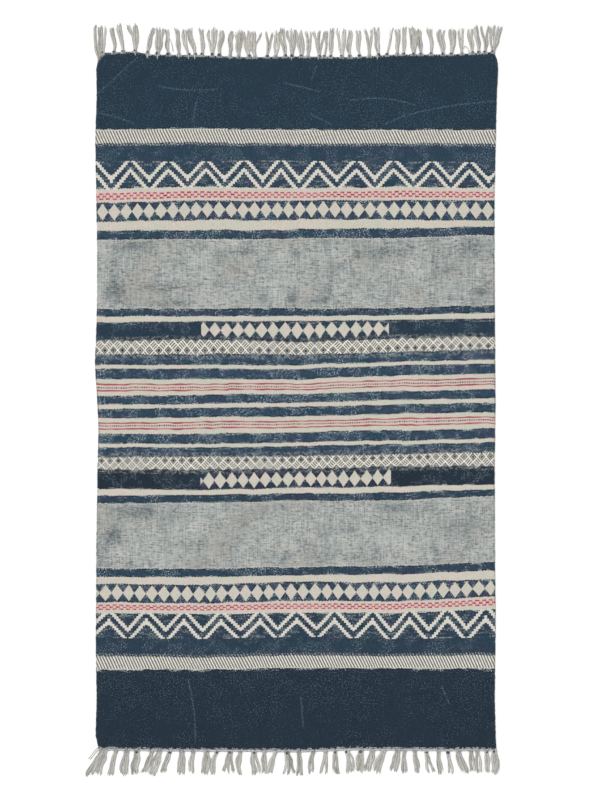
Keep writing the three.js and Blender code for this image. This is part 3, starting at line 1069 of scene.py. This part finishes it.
def tie_knot(yarns, x, base_y, direction, number, dyed_share):
    """Two turns of yarn round the root of a tassel, with a dyed lump of the last one at its side."""
    for turn in (-1, 1):
        half_width = KNOT_RADIUS + 0.3 * jitter(number + turn)
        path = []
        for step in range(KNOT_STEPS):
            angle = 2 * math.pi * step / KNOT_STEPS
            path.append(Vector((
                x + half_width * math.cos(angle),
                base_y + direction * (turn * 0.6 + 0.7 * turn * math.cos(angle)),
                2.15 + 1.35 * math.sin(angle),
            )))
        shade = 0.45 + 0.3 * jitter(number + 3 + turn)
        yarns.tube(path, [(0.7, 0.65)] * KNOT_STEPS, 6, shade, dyed=0.25, closed=True)
    if 0.5 + 0.5 * jitter(number + 12) < dyed_share:
        size = [2.5 + 0.8 * jitter(number + 13), 2.1 + 0.8 * jitter(number + 14), 1.3]
        place = base_y + direction * 0.7 * jitter(number + 15)
        yarns.bead(x + 1.6 * jitter(number + 11), place, 3.35, size, 0.3, 1)


def lay_root_yarns(yarns, x, end_y, base_y, direction, number):
    """Undyed warp ends that show where they leave the navy edge of the cloth."""
    for strand in (0, 1):
        if jitter(number + 21 + strand) < 0.5 + 0.3 * strand:
            continue
        start = x + 1.3 * (strand - 0.5) + 1.0 * jitter(number + 23 + strand)
        reach = 3.2 + 1.4 * jitter(number + 25 + strand)
        path = []
        for step in range(6):
            share = step / 5
            y = mix(end_y - direction * reach, base_y, share)
            z = mix(3.2, 3.0, share) + 0.25 * math.sin(math.pi * share)
            path.append(Vector((mix(start, x, share) + 0.5 * math.sin(5 * share + number), y, z)))
        yarns.tube(path, [(0.45, 0.3), (0.8, 0.55), (0.9, 0.6), (0.85, 0.6), (0.8, 0.6), (0.7, 0.5)], 6, 0.9)


def lay_heading(yarns, table, direction, tassels, draw_in, material):
    """The strip of last weft threads, ribbed by the warp and drawn in between the tassels."""
    start, end = table[0][0], table[-1][0]
    count = round((end - start) / (WARP_PITCH / 2))
    roots = [tassel["root"] for tassel in tassels]
    path = []
    sizes = []
    shades = []
    for step in range(count + 1):
        x = mix(start, end, step / count)
        away = min(min(abs(x - root) for root in roots), 9)
        shades.append(1 - smooth((away - 3) / 3))
        draw = draw_in * smooth(away / 9) + 0.3 * jitter(step * 0.7 + direction)
        rib = 0.12 if step % 2 else -0.12
        half = (STRIP_WIDTH + 0.25 - draw) / 2
        y = look_up(table, x) + direction * (PART_GAP - 0.25 + half)
        path.append(Vector((x, y, 1.35 + rib * 0.5)))
        sizes.append((half, 1.25 + rib))
    yarns.tube(path, sizes, 8, shades, material=material)


def make_fringe(name, table, tassels, direction, make, strays, materials):
    yarns = YarnMesh()
    lay_heading(yarns, table, direction, tassels, make["draw"], 1)
    for tassel in tassels:
        places = [look_up(table, tassel["root"] + side) for side in (-KNOT_HALF_WIDTH, 0, KNOT_HALF_WIDTH)]
        outermost = direction * max(direction * place for place in places)
        base_y = outermost + direction * (PART_GAP + STRIP_WIDTH + KNOT_REACH)
        tie_knot(yarns, tassel["root"], base_y, direction, tassel["number"], make["dyed"])
        if direction > 0:
            lay_root_yarns(yarns, tassel["root"], places[1], base_y, direction, tassel["number"])
        for lock in range(len(tassel["tips"])):
            lay_lock(yarns, tassel, lock, base_y, direction, make)
    for points in strays:
        path = [Vector(point) for point in points]
        yarns.tube(path, [(0.6, 0.6)] * len(path), 6, 0.7)
    if direction < 0:
        x, y, radius = SLIPPED_KNOT
        yarns.bead(x, y, radius, (radius, radius, radius), 0.8, 0)
    return yarns.build(name, materials)


def yarn_material(name, light, dark, yellow):
    """Undyed cotton yarn, with dye that crept into some of the roots."""
    material, tree, surface = new_material(name)
    shade, travelled, dyed = split(add_node(tree, "Attribute", attribute_name="yarn", output=1))
    x, y = place_on_part(tree)
    patch = patches(x, y, 16, 51, 2.0)
    small = patches(x, y, (1.6, 4.0), 52, 2.0)
    colour = (shade * 0.75 + small * 0.35 - 0.05).blend(dark, light)
    colour = (patch.ramp(0.55, 0.95) * 0.6).blend(colour, yellow)
    creep = travelled.ramp(2.5, 8, 0.5, 0) * small.above(0.5) * patch.ramp(0.35, 0.6)
    colour = creep.either(dyed * small.ramp(0, 0.7, 0.6, 1)).blend(colour, dye(46, 56, 72))
    twist = (travelled * 2.6 + x * 1.9).sine() * 0.5 + 0.5
    height = twist * 0.6 + small * 0.4
    finish_surface(surface, colour, height, YARN_RELIEF, small.ramp(0, 1, 0.8, 0.97))
    return material


def heading_material(name, ground, speck, at_roots, between):
    """The strip along an end of the cloth: its ground, and its share of specks at the tassels and between."""
    material, tree, surface = new_material(name)
    near_root, _, _ = split(add_node(tree, "Attribute", attribute_name="yarn", output=1))
    x, y = place_on_part(tree)
    small = patches(x, y, (4, 1.6), 61, 2.0)
    thread = chance(x.cell(WARP_PITCH / 2), y.cell(1.7), 62) * 0.5 + small * 0.5
    share = near_root * (at_roots - between) + between
    colour = ((thread + share - 1).ramp(-0.1, 0.1) * 0.9).blend(ground, speck)
    colour = (small * 0.3).blend(colour, dye(90, 98, 105))
    height = weave(x, y) * 0.6 + small * 0.4
    finish_surface(surface, colour, height, WEAVE_RELIEF, small.ramp(0, 1, 0.8, 0.97))
    return material


# Floor, light and camera
def make_floor():
    material, tree, surface = new_material("floor_paper")
    grain = patches(*place_on_part(tree), 60, 71, 2.0)
    colour = grain.blend((0.93, 0.93, 0.93, 1), (0.95, 0.95, 0.95, 1))
    tree.links.new(colour.socket, surface.inputs["Base Color"])
    surface.inputs["Roughness"].default_value = 0.9
    surface.inputs["Specular IOR Level"].default_value = 0.1
    size = 8000
    corners = [(-size, -size, 0), (size, -size, 0), (size, size, 0), (-size, size, 0)]
    return make_object("floor", corners, [[0, 1, 2, 3]], [material])


def make_lights():
    world = bpy.data.worlds.new("studio")
    world.use_nodes = True
    world.node_tree.nodes["Background"].inputs["Color"].default_value = (1, 1, 1, 1)
    world.node_tree.nodes["Background"].inputs["Strength"].default_value = 0.62
    bpy.context.scene.world = world
    data = bpy.data.lights.new("soft_sun", "SUN")
    data.energy = 1.9
    data.angle = math.radians(28)
    lamp = bpy.data.objects.new("soft_sun", data)
    lamp.rotation_euler = (math.radians(-22), math.radians(-24), 0)
    bpy.context.scene.collection.objects.link(lamp)


def make_camera():
    data = bpy.data.cameras.new("camera")
    data.lens = 100
    data.sensor_width = 36
    data.clip_end = 50
    camera = bpy.data.objects.new("camera", data)
    camera.location = (0.00739, 0.00704, 3.887)
    bpy.context.scene.collection.objects.link(camera)
    bpy.context.scene.camera = camera


# The rug
cloth = make_cloth([printed_material(), wrong_side_material()])
top_yarn = yarn_material("top_yarn", dye(224, 222, 216), dye(150, 148, 143), dye(202, 199, 182))
bottom_yarn = yarn_material("bottom_yarn", dye(220, 219, 214), dye(146, 145, 141), dye(196, 193, 176))
navy_heading = heading_material("navy_heading", dye(38, 52, 66), dye(198, 208, 206), 0.75, 0.3)
pale_heading = heading_material("pale_heading", dye(204, 204, 204), dye(44, 56, 72), 0.35, 0.2)

top_tassels = tassels_of(TOP_CHART, TOP_END[0][0], TOP_LENGTH, 0, 11)
top_tassels[0]["roots"] = CORNER_FAN
bottom_tassels = tassels_of(BOTTOM_CHART, BOTTOM_END[0][0], BOTTOM_LENGTH, CORNER_EXTRA, 211)
top_fringe = make_fringe(
    "fringe_top_yarns", TOP_END, top_tassels, 1, TOP_MAKE, TOP_STRAYS, [top_yarn, navy_heading]
)
bottom_fringe = make_fringe(
    "fringe_bottom_yarns", BOTTOM_END, bottom_tassels, -1, BOTTOM_MAKE, BOTTOM_STRAYS,
    [bottom_yarn, pale_heading],
)

for piece, node, slot in (
    (cloth, "rug_cloth", "printed_cloth"),
    (top_fringe, "fringe_top", "undyed_yarn"),
    (bottom_fringe, "fringe_bottom", "undyed_yarn"),
):
    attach(piece, "root")
    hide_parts(node)

floor = make_floor()

make_lights()
make_camera()
bpy.context.scene.view_settings.view_transform = "Standard"
